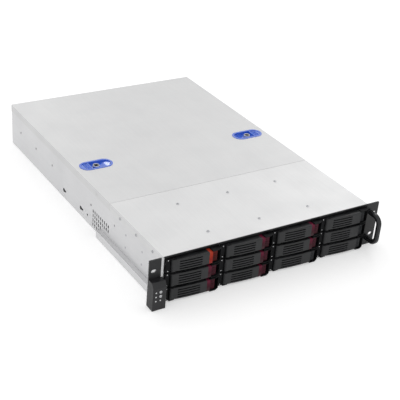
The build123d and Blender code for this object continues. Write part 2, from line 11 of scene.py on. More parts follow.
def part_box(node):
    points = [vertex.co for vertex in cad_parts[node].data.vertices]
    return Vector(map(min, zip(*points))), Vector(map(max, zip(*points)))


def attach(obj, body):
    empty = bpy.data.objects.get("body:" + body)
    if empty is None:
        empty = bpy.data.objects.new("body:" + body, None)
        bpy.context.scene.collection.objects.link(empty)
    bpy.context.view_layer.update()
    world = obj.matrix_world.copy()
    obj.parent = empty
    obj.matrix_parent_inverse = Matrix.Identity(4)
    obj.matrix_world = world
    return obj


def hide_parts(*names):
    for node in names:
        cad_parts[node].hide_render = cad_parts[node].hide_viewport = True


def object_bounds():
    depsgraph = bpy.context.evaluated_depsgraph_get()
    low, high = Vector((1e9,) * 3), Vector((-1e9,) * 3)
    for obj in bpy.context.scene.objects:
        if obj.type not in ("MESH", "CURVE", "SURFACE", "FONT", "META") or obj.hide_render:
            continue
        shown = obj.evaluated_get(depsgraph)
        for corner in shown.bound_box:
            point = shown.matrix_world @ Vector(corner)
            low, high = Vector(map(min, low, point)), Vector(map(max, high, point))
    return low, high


bl_info = {
    "name": "Rackmount chassis looks",
    "version": (1, 0, 0),
    "blender": (4, 5, 0),
    "location": "View3D > Sidebar > Chassis",
    "description": "Finishes, small pieces and studio for the packed rackmount server chassis",
    "category": "Object",
}

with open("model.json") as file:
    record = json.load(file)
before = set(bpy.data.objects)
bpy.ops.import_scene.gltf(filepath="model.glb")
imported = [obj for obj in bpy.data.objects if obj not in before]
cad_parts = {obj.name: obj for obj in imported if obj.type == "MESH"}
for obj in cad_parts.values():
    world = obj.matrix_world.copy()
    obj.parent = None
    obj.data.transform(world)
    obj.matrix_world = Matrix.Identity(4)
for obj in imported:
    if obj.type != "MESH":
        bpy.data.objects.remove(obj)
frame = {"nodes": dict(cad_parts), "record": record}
cad_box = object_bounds()

TRAYS = 12
FANS = 3
MM = 0.001
UP = Vector((0, 0, 1))
FORWARD = Vector((0, -1, 0))
WHITE = (1, 1, 1)

# A CAD mesh repeats a corner for each face round it, and corners this close are one.
WELD_DISTANCE = 0.005 * MM
# Edges that turn by more than these are softened, or drawn sharp.
SOFT_FROM = math.radians(50)
SHARP_FROM = math.radians(35)
# Noise seldom leaves this range.
NOISE_LOW, NOISE_HIGH = 0.3, 0.7
# Cosines of the lean at which an edge colour starts to show and shows fully, 14 and 41 degrees.
EDGE_STARTS, EDGE_FULL = 0.97, 0.75
# A wave pattern of scale 1 turns through this many radians in a metre.
WAVE_TURN = 20
# A mix node has sockets of one name for each kind of value, so the colour ones go by number.
MIX_UNDER, MIX_OVER, MIX_RESULT = 6, 7, 2
# Outline of a pan head outside its recess, as shares of its radius and of its height.
PAN_HEAD = ((0.72, 1.0), (0.9, 0.82), (1.0, 0.4), (1.0, 0.0))

# The rack face is the back of the ears, and the trays, block and handle stand in front of it.
rack_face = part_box("left_ear")[1].y
cover_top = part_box("front_cover")[1].z


def linear(hex_colour):
    """An sRGB hex colour as scene-linear red, green and blue."""
    channels = [int(hex_colour[place:place + 2], 16) / 255 for place in (0, 2, 4)]
    return tuple(c / 12.92 if c <= 0.04045 else ((c + 0.055) / 1.055) ** 2.4 for c in channels)


# The next functions each make one kind of setting. The name of its value says the unit.
def colour(name, description, hex_colour):
    tone = linear(hex_colour)
    return FloatVectorProperty(
        name=name, description=description, subtype="COLOR", size=3, min=0, max=1, default=tone
    )


def length(name, description, millimetres):
    size = millimetres * MM
    return FloatProperty(name=name, description=description, unit="LENGTH", min=0, default=size)


def position(name, description, metres):
    return FloatVectorProperty(name=name, description=description, unit="LENGTH", size=3, default=metres)


def rotation(name, description, degrees):
    turn = math.radians(degrees)
    return FloatProperty(name=name, description=description, unit="ROTATION", default=turn)


def wattage(name, description, watts):
    return FloatProperty(name=name, description=description, unit="POWER", min=0, default=watts)


def portion(name, description, part):
    return FloatProperty(name=name, description=description, subtype="FACTOR", min=0, max=1, default=part)


def amount(name, description, value, least=0):
    return FloatProperty(name=name, description=description, min=least, default=value)


def count(name, description, number, least):
    return IntProperty(name=name, description=description, min=least, default=number)


class ChassisFinish(PropertyGroup):
    """Colours of the real materials."""

    lid_zinc: colour("Lid steel", "Zinc-plated steel of the sliding top cover", "d6d6d6")
    front_zinc: colour("Front steel", "Slightly brighter steel of the fixed front cover", "dcdcdc")
    pan_zinc: colour("Pan steel", "Zinc-plated steel of the pan and rear wall", "dcdcdd")
    dull_zinc: colour("Dull zinc", "Clouded patches in the zinc", "bcbdbf")
    # Painted shade along the edges of the pan and the blanks, and dirt in the tool marks of the screws.
    shade_and_dirt_zinc: colour("Punched edge", "Oil-darkened metal at punched holes and on screws", "3c3d40")
    screw_zinc: colour("Screw zinc", "Zinc on the screws and rivets, duller than the sheet", "c4c5c8")
    cut_edge: colour("Cut edge", "Bare metal at the covers' edges and on the eyelets", "e4e5e6")
    black_coat: colour("Black coat", "Powder coat of the ears", "0e0e0f")
    tray_abs: colour("Tray plastic", "Black moulded plastic of the trays", "050506")
    lever_abs: colour("Lever plastic", "Slightly paler plastic of the levers", "161718")
    # Painted highlight along the edges of black plastic, paint and oxide, together with their rubbed wear.
    highlight_and_rubbed_black: colour("Rubbed black", "Black plastic, paint or oxide rubbed by hands", "55565a")
    block_abs: colour("Block plastic", "Plastic of the control block", "131315")
    key_abs: colour("Key plastic", "Pale plastic of the two keys", "c9cacc")
    bow_black: colour("Handle black", "Black oxide on the bow handle", "17181a")
    maroon: colour("Release maroon", "Dark red plastic of most release buttons", "2c0610")
    # The red buttons are this darker red, and their lever caps the brighter red below.
    garnet: colour("Release garnet", "Bright red plastic where it is thick", "380806")
    vermilion: colour("Release red", "Bright red plastic of the first release button", "8c160c")
    # Rose and coral also make the painted highlight at the tops of the buttons and caps.
    rose: colour("Release rose", "Where a dark red button is thin", "8c2c4c")
    coral: colour("Release coral", "Where a bright red button is thin", "c85034")
    slate: colour("Release grey", "Grey plastic of some release buttons", "242527")
    latch_blue: colour("Latch blue", "Plastic of the latch wells", "3464d4")
    thumb_blue: colour("Thumb blue", "Plastic of the ribbed slides", "3f74e0")
    mask_green: colour("Board green", "Solder mask of the drive board", "1d4a2c")
    track_green: colour("Board tracks", "Solder mask where copper lies under it", "35703f")
    fan_black: colour("Fan black", "Glass-filled plastic of the fans", "141516")
    lens_white: colour("Lens white", "Diffusing plastic of the lamp lenses", "e8e9ea")
    mark_ink: colour("Mark ink", "Dark ink of the marks on the keys", "3a3b3d")


class ChassisDetails(PropertyGroup):
    """Sizes of the pieces that this file adds."""

    lens_radius: length("Lens radius", "Radius of a tray lamp lens", 0.9)
    lens_rise: length("Lens rise", "Height of a lens over its face", 0.45)
    lens_inset: length("Lens inset", "Distance of a lens from the end of the lamp strip", 2.6)
    strip_width: length("Strip width", "Width of the lamp strip of a tray", 8.0)
    strip_front: length("Strip front", "Distance of the lamp strip in front of the rack face", 4.0)
    mark_pitch: length("Mark pitch", "Distance between the two columns of the control block", 8.4)
    well_radius: length("Well radius", "Radius of a lamp well in the control block", 1.3)
    well_depth: length("Well depth", "Depth of a lamp well", 0.8)
    well_fill: portion("Well fill", "Share of a lamp well's radius and depth that its lens fills", 0.98)
    well_lens_rise: length("Well lens rise", "Height of a lens over its well", 0.3)
    ring_radius: length("Ring radius", "Radius of the ring printed on a key", 1.1)
    ring_gap: rotation("Ring gap", "Half of the gap at the top of that ring", 35)
    ink_width: length("Ink width", "Width of a printed line", 0.35)
    ink_film: length("Ink film", "Thickness of the ink", 0.05)
    bar_length: length("Bar length", "Length of the bar in the power mark", 1.2)
    bar_height: length("Bar height", "Middle of that bar over the middle of its ring", 0.9)
    head_radius: length("Head radius", "Radius of a cover screw's head", 2.9)
    head_rise: length("Head rise", "Height of a cover screw's head", 1.1)
    rivet_radius: length("Rivet radius", "Radius of a rivet head", 2.2)
    rivet_rise: length("Rivet rise", "Height of a rivet head", 0.7)
    recess_depth: length("Recess depth", "Depth of the cross recess in a screw", 0.8)
    recess_reach: length("Recess reach", "Length of an arm of that cross from its middle", 1.5)
    recess_width: length("Recess width", "Width of an arm of that cross", 0.84)
    recess_taper: portion("Recess taper", "Size of the cross at its floor as a share of its mouth", 0.8)
    shortest_screw: length("Shortest screw", "Fasteners that are longer than this are screws", 5.0)
    pan_wall: length("Pan wall", "Thickness of the pan's wall, on which the rear rivets sit", 1.2)
    tip_reach: length("Tip reach", "Length of the coloured cap on a lever's free end", 6.0)
    tip_skin: length("Tip skin", "Thickness of that cap", 0.12)
    latch_length: length("Latch length", "Length of a latch well over its rim", 67.0)
    latch_width: length("Latch width", "Width of a latch well over its rim", 33.0)
    latch_border: length("Latch border", "Rim and wall round the well", 4.4)
    latch_wall: length("Latch wall", "Thickness of the well's floor", 1.2)
    latch_rise: length("Latch rise", "Height of the rim over the cover", 0.8)
    dish_start: length("Dish start", "Where the scooped end of a well begins, from its middle", 7.5)
    dish_end_gap: length("Dish end gap", "Gap between the dish and the end of its well", 0.05)
    dish_side_gap: length("Dish side gap", "Gap between the dish and the sides of its well", 0.02)
    dish_seat: length("Dish seat", "Gap between the dish and the floor of its well", 0.01)
    dish_skin: length("Dish skin", "Thickness of the dish where it begins", 0.01)
    dish_climb: portion("Dish climb", "Share of the well's depth that the dish climbs", 0.85)
    dish_sides: portion("Dish sides", "Share of that depth by which its sides end higher", 0.1)
    dish_hollow: amount("Dish hollow", "Power of the climb; 1 makes a plain ramp", 1.7)
    dish_patches: count("Dish patches", "Faces along and across the dish", 12, 2)
    eyelet_radius: length("Eyelet radius", "Outer radius of the steel eyelet in a well", 6.5)
    eyelet_wall: length("Eyelet wall", "Thickness of the eyelet's tube", 1.2)
    eyelet_sink: length("Eyelet sink", "Depth of the eyelet's crest under the cover's face", 0.5)
    flange_reach: length("Flange reach", "Reach of the eyelet's flange beyond its tube", 2.5)
    flange_top: length("Flange top", "Depth of the flange's upper face under the well", 0.2)
    flange_bottom: length("Flange bottom", "Depth of the flange's lower face under the well", 1.0)
    socket_gap: length("Socket gap", "Gap between the socket head and its eyelet", 0.15)
    socket_sink: length("Socket sink", "Depth of the socket head under the eyelet's crest", 1.2)
    socket_chamfer: length("Socket chamfer", "Chamfer round the socket head", 0.4)
    key_radius: length("Key radius", "Radius of the recess in the socket head", 2.575)
    key_depth: length("Key depth", "Depth of that recess", 2.0)
    board_thickness: length("Board thickness", "Thickness of the drive board", 1.6)
    soft_edge: length("Soft edge", "Radius worked on plastic edges", 0.3)
    sheet_edge: length("Sheet edge", "Radius left on sheared and folded sheet", 0.3)
    lathe_steps: count("Lathe steps", "Sides of a turned piece", 24, 8)


class ChassisStudio(PropertyGroup):
    """Camera, lamps and floor."""

    camera_place: position("Camera place", "Where the camera stands", (-0.9044, -1.4298, 0.9315))
    camera_yaw: rotation("Yaw", "Turn to the right", 33.772)
    camera_pitch: rotation("Pitch", "Tilt down", 29.096)
    camera_roll: rotation("Roll", "Tilt to the side", 4.917)
    camera_lens: amount("Lens", "Focal length in millimetres", 86.98, least=1)
    camera_film: amount("Film", "Width of the film in millimetres", 36.0, least=1)
    sky: amount("Sky", "Strength of the even light from all round", 0.8)
    seen_sky: amount("Seen sky", "Strength of the sky to the camera and in reflections", 1.0)
    key_place: position("Key place", "Where the lamp over the right side hangs", (1.7, 0.9, 1.6))
    key_size: length("Key size", "Side of that lamp", 800)
    key_power: wattage("Key power", "Power of that lamp", 5)
    rear_place: position("Rear place", "Where the small lamp behind hangs", (0.1, 2.2, 1.7))
    rear_size: length("Rear size", "Side of that lamp", 500)
    rear_power: wattage("Rear power", "Power of that lamp", 4)
    fill_place: position("Fill place", "Where the lamp in front hangs", (-1.1, -2.2, 1.3))
    fill_size: length("Fill size", "Side of that lamp", 1200)
    fill_power: wattage("Fill power", "Power of that lamp", 5)
    floor_tone: colour("Floor", "Pale floor", "e9e9e9")
    roller_tone: colour("Roller marks", "Slightly darker bands that the paint roller left", "dadada")
    floor_glow: amount("Floor glow", "Light that the camera sees in the floor", 0.36)
    floor_reach: length("Floor reach", "Half the side of the square floor", 12000)
    floor_gap: length("Floor gap", "Gap between the floor and the chassis", 0.2)


def add(tree, kind, links=None, **settings):
    """Add a node with its settings. Links gives its inputs, each a socket of another node or a value."""
    made = tree.nodes.new("ShaderNode" + kind)
    for key, value in settings.items():
        setattr(made, key, value)
    for key, value in (links or {}).items():
        socket = made.inputs[key]
        if isinstance(value, bpy.types.NodeSocket):
            tree.links.new(value, socket)
        elif socket.type == "RGBA":
            socket.default_value = (*value, 1)
        else:
            socket.default_value = value
    return made


def begin(name):
    """An empty material, its nodes and the place on the piece, in metres, in the frame of the object."""
    material = bpy.data.materials.get(name) or bpy.data.materials.new(name)
    material.use_nodes = True
    tree = material.node_tree
    tree.nodes.clear()
    return material, tree, add(tree, "TexCoord").outputs["Object"]


def complete(tree, relief=None, **inputs):
    """Join the shader's sockets to the material's output; underscores in a name stand for spaces.

    Relief is a height with the depth in millimetres and the strength at which it shows.
    """
    named = {key.replace("_", " "): value for key, value in inputs.items()}
    if relief:
        height, depth_mm, strength = relief
        links = {"Height": height, "Distance": depth_mm * MM, "Strength": strength}
        named["Normal"] = add(tree, "Bump", links).outputs["Normal"]
    shader = add(tree, "BsdfPrincipled", named)
    add(tree, "OutputMaterial", {"Surface": shader.outputs["BSDF"]})


def grain(tree, place, sizes_mm, detail=2.0):
    """Soft noise whose patches have one real size, or a size along each axis."""
    sizes = sizes_mm if isinstance(sizes_mm, tuple) else (sizes_mm,) * 3
    links = {"Vector": place, "Scale": [1 / (size * MM) for size in sizes]}
    sized = add(tree, "Mapping", links).outputs["Vector"]
    return add(tree, "TexNoise", {"Vector": sized, "Scale": 1.0, "Detail": detail}).outputs["Fac"]


def between(tree, noise, low, high):
    """Noise, which stays near its middle, spread over a range of values."""
    links = {"Value": noise, "From Min": NOISE_LOW, "From Max": NOISE_HIGH, "To Min": low, "To Max": high}
    return add(tree, "MapRange", links).outputs["Result"]


def layered(tree, tone, *layers):
    """A tone under layers, each given as the share that it covers and its own tone."""
    for share, over in layers:
        links = {"Factor": share, MIX_UNDER: tone, MIX_OVER: over}
        tone = add(tree, "Mix", links, data_type="RGBA").outputs[MIX_RESULT]
    return tone


def edges(tree, reach_mm, share=1.0):
    """The share that an edge colour covers: all of it along sharp outer and inner edges, and none on flat
    faces.

    It lays bare and worn edges, painted highlights along edges, and painted shade round holes.
    """
    rounded = add(tree, "Bevel", {"Radius": reach_mm * MM}, samples=4).outputs["Normal"]
    plain = add(tree, "NewGeometry").outputs["Normal"]
    along = add(tree, "VectorMath", {0: rounded, 1: plain}, operation="DOT_PRODUCT").outputs["Value"]
    links = {"Value": along, "From Min": EDGE_STARTS, "From Max": EDGE_FULL, "To Max": share}
    return add(tree, "MapRange", links).outputs["Result"]


def zinc_plated_steel(name, steel, dull, edge, edge_share=0.8, reach_mm=0.6):
    """Cold-rolled sheet steel with an electroplated zinc coat, sheared, punched and folded.

    A pale, matt grey metal: faint streaks run along the rolling direction and dull clouds lie over it. The
    edge tone is bright for the sheared covers, and a painted shade on the blanks and, wider, on the pan.
    """
    material, tree, place = begin(name)
    # Rolling streaks are about 1.5 mm apart and 90 mm long.
    streaks = grain(tree, place, (1.5, 90, 1.5))
    clouds = grain(tree, place, 70, 3.0)
    # Zinc grains are near 0.1 mm, drawn 0.7 mm to show at all.
    grains = grain(tree, place, 0.7)
    shade = layered(
        tree, steel,
        (between(tree, clouds, 0, 0.14), dull),
        (between(tree, streaks, 0, 0.12), dull),
        (edges(tree, reach_mm, edge_share), edge),
    )
    complete(
        tree, relief=(grains, 0.02, 0.35), Base_Color=shade, Metallic=0.7,
        Roughness=between(tree, clouds, 0.5, 0.58),
    )
    return material


def powder_coat(name, paint, edge):
    """Polyester powder baked on steel, as on rack ears.

    Black with a low sheen and a fine orange-peel, greyer along its edges, partly rubbed and partly a painted
    highlight.
    """
    material, tree, place = begin(name)
    # Orange-peel cells of a thin powder coat are about 0.9 mm across.
    peel = grain(tree, place, 0.9)
    haze = grain(tree, place, 25)
    # The grey along the edges is a painted highlight, with some rubbing.
    shade = layered(tree, paint, (between(tree, haze, 0, 0.12), edge), (edges(tree, 0.5), edge))
    complete(
        tree, relief=(peel, 0.03, 0.5), Base_Color=shade, Roughness=between(tree, haze, 0.42, 0.55),
        IOR=1.5, Specular_IOR_Level=0.35,
    )
    return material


def textured_abs(name, plastic, edge, rough=0.5, highlight_and_wear=0.5, gloss=0.35):
    """ABS moulded in a spark-eroded tool, as on drive trays.

    Matt with a very fine pebble and faint flow marks, and paler along its edges, partly where hands rub them
    and partly a painted highlight.
    """
    material, tree, place = begin(name)
    # The tool's pebble is near 0.15 mm, drawn 0.5 mm to show in the render.
    pebble = grain(tree, place, 0.5)
    flow = grain(tree, place, 18)
    # The paler edges are a painted highlight, with some rubbing.
    shade = layered(tree, plastic, (between(tree, flow, 0, 0.1), edge), (edges(tree, 0.45, highlight_and_wear), edge))
    complete(
        tree, relief=(pebble, 0.02, 0.6), Base_Color=shade, IOR=1.53, Specular_IOR_Level=gloss,
        Roughness=between(tree, flow, rough - 0.05, rough + 0.08),
    )
    return material


def glossy_abs(name, plastic, pale):
    """ABS from a polished tool, as on touch points that service staff look for.

    A clear colour with soft reflections, sink marks of a few millimetres and hairline scratches.
    """
    material, tree, place = begin(name)
    sink = grain(tree, place, 9, 1.0)
    # Hairline scratches lie about 0.8 mm apart and 12 mm long.
    scratches = grain(tree, place, (12, 0.8, 12), 3.0)
    shade = layered(tree, plastic, (between(tree, sink, 0, 0.08), pale), (edges(tree, 0.5, 0.3), pale))
    complete(
        tree, relief=(sink, 0.05, 0.3), Base_Color=shade, IOR=1.53, Coat_Weight=0.8,
        Roughness=between(tree, scratches, 0.12, 0.22),
    )
    return material


def tinted_polycarbonate(name, tint, pale, crown):
    """Moulded polycarbonate coloured through, as on release buttons.

    Deep colour under a clear surface, with paler edges where the wall is thin. The top of the piece is paler
    too, a painted highlight, where the crown is the share of the pale colour that shows.
    """
    material, tree, place = begin(name)
    depth = grain(tree, place, 5, 1.0)
    spot = add(tree, "TexCoord").outputs["Generated"]
    height = add(tree, "SeparateXYZ", {"Vector": spot}).outputs["Z"]
    # The painted highlight starts at 45 % of the piece's height, and is full from 90 % up.
    links = {"Value": height, "From Min": 0.45, "From Max": 0.9, "To Max": crown}
    painted_top_highlight = add(tree, "MapRange", links).outputs["Result"]
    shade = layered(
        tree, tint,
        (between(tree, depth, 0, 0.1), pale),
        (painted_top_highlight, pale),
        (edges(tree, 0.4, 0.5), pale),
    )
    complete(
        tree, relief=(depth, 0.03, 0.3), Base_Color=shade, IOR=1.58, Specular_IOR_Level=0.1,
        Roughness=between(tree, depth, 0.3, 0.42),
    )
    return material


def black_oxide_steel(name, black, edge):
    """Bent steel bar blackened in a hot bath and oiled, as on pull handles.

    Near black with a satin gleam, fine drawing lines along the bar, and a painted highlight that greys its
    edges.
    """
    material, tree, place = begin(name)
    # Drawing lines are about 0.4 mm apart and 20 mm long, up the bar.
    lines = grain(tree, place, (0.4, 0.4, 20))
    # The grey along the edges is a painted highlight on the bar's edges.
    shade = layered(tree, black, (between(tree, lines, 0, 0.1), edge), (edges(tree, 1.2), edge))
    complete(
        tree, relief=(lines, 0.02, 0.3), Base_Color=shade, Metallic=0.4,
        Roughness=between(tree, lines, 0.24, 0.36),
    )
    return material


def plated_screw_steel(name, bright, dull):
    """Headed steel wire with bright zinc, as on cover screws, rivets and eyelets.

    Bright grey metal with fine tool marks, in which a little dirt has stayed.
    """
    material, tree, place = begin(name)
    # Tool marks on the heads are about 0.5 mm apart.
    marks = grain(tree, place, 0.5)
    complete(
        tree, relief=(marks, 0.02, 0.3), Metallic=1.0, Roughness=between(tree, marks, 0.28, 0.42),
        Base_Color=layered(tree, bright, (between(tree, marks, 0, 0.4), dull)),
    )
    return material


def drive_board_finish(name, mask, plastic, copper, board_front):
    """Glass-epoxy board under green solder mask, with black sockets of moulded nylon on its front.

    Satin green over copper tracks that show as slightly paler bands, and matt black sockets.
    """
    material, tree, place = begin(name)
    # Tracks are bundled in bands that come back every 18.85 mm.
    bands_scale = 2 * math.pi / (18.85 * MM) / WAVE_TURN
    links = {"Vector": place, "Scale": bands_scale, "Distortion": 2.0}
    bands = add(tree, "TexWave", links, bands_direction="X").outputs["Fac"]
    depth = add(tree, "SeparateXYZ", {"Vector": place}).outputs["Y"]
    # Whatever stands at least 0.1 mm in front of the board is a socket.
    links = {0: depth, 1: board_front - 0.1 * MM}
    sockets = add(tree, "Math", links, operation="LESS_THAN").outputs["Value"]
    pores = grain(tree, place, 0.6)
    complete(
        tree, relief=(pores, 0.02, 0.4), Roughness=between(tree, pores, 0.35, 0.5), IOR=1.55,
        Base_Color=layered(tree, mask, (between(tree, bands, 0, 0.25), copper), (sockets, plastic)),
    )
    return material


def diffusing_acrylic(name, white, shade):
    """Milky acrylic of a lamp lens, unlit.

    White and softly shiny, with faint greyer clouds where the dark wall behind it shows through.
    """
    material, tree, place = begin(name)
    milk = grain(tree, place, 1.5, 1.0)
    complete(
        tree, relief=(milk, 0.02, 0.2), IOR=1.49, Roughness=between(tree, milk, 0.15, 0.25),
        Base_Color=layered(tree, white, (between(tree, milk, 0, 0.3), shade)),
    )
    return material


def pad_ink(name, ink, base):
    """Pad-printed ink, a few hundredths of a millimetre thick.

    Dark and matt, and a little uneven where the plastic under it shows.
    """
    material, tree, place = begin(name)
    cover = grain(tree, place, 0.3)
    shade = layered(tree, ink, (between(tree, cover, 0, 0.12), base))
    complete(tree, Base_Color=shade, IOR=1.5, Roughness=between(tree, cover, 0.5, 0.65))
    return material


def painted_floor(name, studio):
    """Studio board painted with a roller.

    Smooth, pale and matt, with very faint darker bands. Camera, mirror and glass rays also see a little light
    in it.
    """
    material, tree, place = begin(name)
    rolled = between(tree, grain(tree, place, 120), 0, 0.03)
    tone = layered(tree, studio.floor_tone, (rolled, studio.roller_tone))
    paint = add(tree, "BsdfDiffuse", {"Color": tone}).outputs["BSDF"]
    links = {"Color": WHITE, "Strength": studio.floor_glow}
    light = add(tree, "Emission", links).outputs["Emission"]
    lit = add(tree, "AddShader", {0: paint, 1: light}).outputs["Shader"]
    surface = add(tree, "MixShader", {0: seen_rays(tree), 1: paint, 2: lit}).outputs["Shader"]
    add(tree, "OutputMaterial", {"Surface": surface})
    return material


def seen_rays(tree):
    """One for rays from the camera and for those that a shiny or clear surface sends on."""
    path = add(tree, "LightPath")
    seen = path.outputs["Is Camera Ray"]
    for kind in ("Is Glossy Ray", "Is Transmission Ray"):
        links = {0: seen, 1: path.outputs[kind]}
        seen = add(tree, "Math", links, operation="MAXIMUM").outputs["Value"]
    return seen


def dress(node, material, edge=0.0):
    """Give a CAD node its finish, and where asked for soft edges."""
    thing = frame["nodes"][node]
    thing.data.materials.clear()
    thing.data.materials.append(material)
    if edge:
        weld = thing.modifiers.new("weld", "WELD")
        weld.merge_threshold = WELD_DISTANCE
        soft = thing.modifiers.new("soft_edge", "BEVEL")
        soft.width = edge
        soft.segments = 2
        soft.limit_method = "ANGLE"
        soft.angle_limit = SOFT_FROM
        flat = thing.modifiers.new("flat_faces", "WEIGHTED_NORMAL")
        flat.keep_sharp = True


def piece(name, body, material, builder, *settings, slot=None):
    """A new named piece that rides on a body. Its builder draws it, from the settings, in an empty bmesh."""
    old = bpy.data.objects.get(name)
    if old:
        bpy.data.objects.remove(old)
    mesh = bpy.data.meshes.new(name)
    work = bmesh.new()
    builder(work, *settings)
    bmesh.ops.recalc_face_normals(work, faces=work.faces)
    work.to_mesh(mesh)
    work.free()
    mesh.materials.append(material)
    mesh.set_sharp_from_angle(angle=SHARP_FROM)
    made = bpy.data.objects.new(name, mesh)
    bpy.context.scene.collection.objects.link(made)
    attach(made, body)
    return made


def aimed(place, axis):
    """The frame at a place whose heights run along an axis."""
    turn = UP.rotation_difference(axis).to_matrix().to_4x4()
    return Matrix.Translation(place) @ turn


def row_of(work, into, points, height):
    """New corners at flat points, at one height in a frame."""
    return [work.verts.new(into @ Vector((*point, height))) for point in points]


def bridge(work, first, second, closed=False):
    """Faces between two rows of as many corners, and between their ends if the rows close."""
    spans = len(first) if closed else len(first) - 1
    for corner in range(spans):
        after = (corner + 1) % len(first)
        work.faces.new((first[corner], first[after], second[after], second[corner]))


def turned(work, profile, place, axis, steps):
    """Revolve a profile of (radius, height) points about an axis through a place.

    Heights run along the axis, and a point on it makes one corner.
    """
    into = aimed(place, axis)
    rings = []
    for radius, height in profile:
        angles = [step * 2 * math.pi / steps for step in range(steps if radius else 1)]
        points = [(radius * math.cos(angle), radius * math.sin(angle)) for angle in angles]
        rings.append(row_of(work, into, points, height))
    for low, high in zip(rings, rings[1:]):
        for step in range(steps):
            after = (step + 1) % steps
            path = ((low, step), (low, after), (high, after), (high, step))
            corners = dict.fromkeys(row[at % len(row)] for row, at in path)
            work.faces.new(list(corners))


def dome_profile(radius, rise, sink=0.0):
    """A domed button from its rim to its crown, with a side and a back if it is sunk in a well."""
    back = [(0, -sink), (radius, -sink)] if sink else []
    crown = [(radius * math.cos(lean), rise * math.sin(lean)) for lean in (0, math.pi / 6, math.pi / 3)]
    return back + crown + [(0, rise)]


def lenses(work, profile, places, steps):
    """A lens at each place, facing forwards."""
    for place in places:
        turned(work, profile, Vector(place), FORWARD, steps)


class CHASSIS_OT_sheet_metal(Operator):
    """Finish the covers, pan, rear wall and everything else that is made of zinc-plated sheet."""

    bl_idname = "chassis.sheet_metal"
    bl_label = "Sheet metal"

    def execute(self, context):
        finish = context.scene.chassis_finish
        dull, edge_shade = finish.dull_zinc, finish.shade_and_dirt_zinc
        # On the pan the dark edge tone is painted shade, made wide so that the punched holes and vents read
        # dark.
        pan = zinc_plated_steel("zinc_plated_pan_steel", finish.pan_zinc, dull, edge_shade, edge_share=1.0, reach_mm=1.2)
        for node, tone in (("front_cover", finish.front_zinc), ("top_cover", finish.lid_zinc)):
            dress(node, zinc_plated_steel(f"zinc_plated_{node}_steel", tone, dull, finish.cut_edge))
        for node in ("base_pan", "rear_panel", "side_runners", "fan_wall", "drive_cage"):
            dress(node, pan)
        dress("slot_covers", zinc_plated_steel("zinc_plated_blank_steel", dull, finish.screw_zinc, edge_shade))
        return {"FINISHED"}


class CHASSIS_OT_front_frame(Operator):
    """Finish the ears, the trim over the trays, the control block, its keys and the bow handle."""

    bl_idname = "chassis.front_frame"
    bl_label = "Ears and handle"

    def execute(self, context):
        finish = context.scene.chassis_finish
        edge = context.scene.chassis_details.sheet_edge
        # This grey along black edges is painted highlight as well as rubbed wear.
        rubbed = finish.highlight_and_rubbed_black
        coat = powder_coat("black_powder_coat", finish.black_coat, rubbed)
        for node in ("left_ear", "right_ear"):
            dress(node, coat, edge)
        trim = textured_abs("extruded_trim_abs", finish.tray_abs, rubbed, highlight_and_wear=0.4, gloss=0.15)
        dress("front_trim", trim, edge)
        block = textured_abs("moulded_block_abs", finish.block_abs, rubbed, rough=0.42, highlight_and_wear=0.3)
        dress("control_block", block)
        dress("ear_handle", black_oxide_steel("black_oxide_handle_steel", finish.bow_black, rubbed))
        keys = textured_abs("moulded_key_abs", finish.key_abs, finish.lens_white, rough=0.4)
        for node in ("power_button", "reset_button"):
            dress(node, keys)
        return {"FINISHED"}


class CHASSIS_OT_trays(Operator):
    """Finish the drive trays, their levers and their release buttons, and cap the coloured levers."""

    bl_idname = "chassis.trays"
    bl_label = "Drive trays"

    def execute(self, context):
        finish = context.scene.chassis_finish
        details = context.scene.chassis_details
        # This grey along black edges is painted highlight as well as rubbed wear.
        rubbed = finish.highlight_and_rubbed_black
        tray = textured_abs("moulded_tray_abs", finish.tray_abs, rubbed, rough=0.55, highlight_and_wear=0.2, gloss=0.08)
        lever = textured_abs("moulded_lever_abs", finish.lever_abs, rubbed, rough=0.45, highlight_and_wear=0.6)
        # Name, colour, pale colour and crown of the plastic in each slot; the crown is the share of painted
        # highlight.
        button_looks = {
            "release_plastic": ("maroon_polycarbonate", finish.maroon, finish.rose, 0.05),
            "bright_release_plastic": ("red_polycarbonate", finish.garnet, finish.vermilion, 0.2),
            "grey_release_plastic": ("grey_polycarbonate", finish.slate, rubbed, 0.05),
        }
        # The caps get a larger crown of painted highlight than the buttons, and the red caps a brighter red.
        cap_looks = {
            "release_plastic": ("thin_maroon_polycarbonate", finish.maroon, finish.rose, 0.35),
            "bright_release_plastic": ("thin_red_polycarbonate", finish.vermilion, finish.coral, 0.4),
        }
        buttons = {slot: tinted_polycarbonate(*looks) for slot, looks in button_looks.items()}
        caps = {slot: tinted_polycarbonate(*looks) for slot, looks in cap_looks.items()}
        slots = {part["node"]: part["material_slot"] for part in frame["record"]["subparts"]}
        for number in range(1, TRAYS + 1):
            dress(f"drive_tray_{number}", tray, details.soft_edge)
            dress(f"tray_lever_{number}", lever, details.soft_edge)
            slot = slots[f"tray_release_{number}"]
            dress(f"tray_release_{number}", buttons[slot], details.soft_edge)
            if slot in caps:
                name, body, node = f"lever_tip_{number}", f"lever_{number}", f"tray_lever_{number}"
                piece(name, body, caps[slot], lever_tip, node, details, slot=slot)
        return {"FINISHED"}


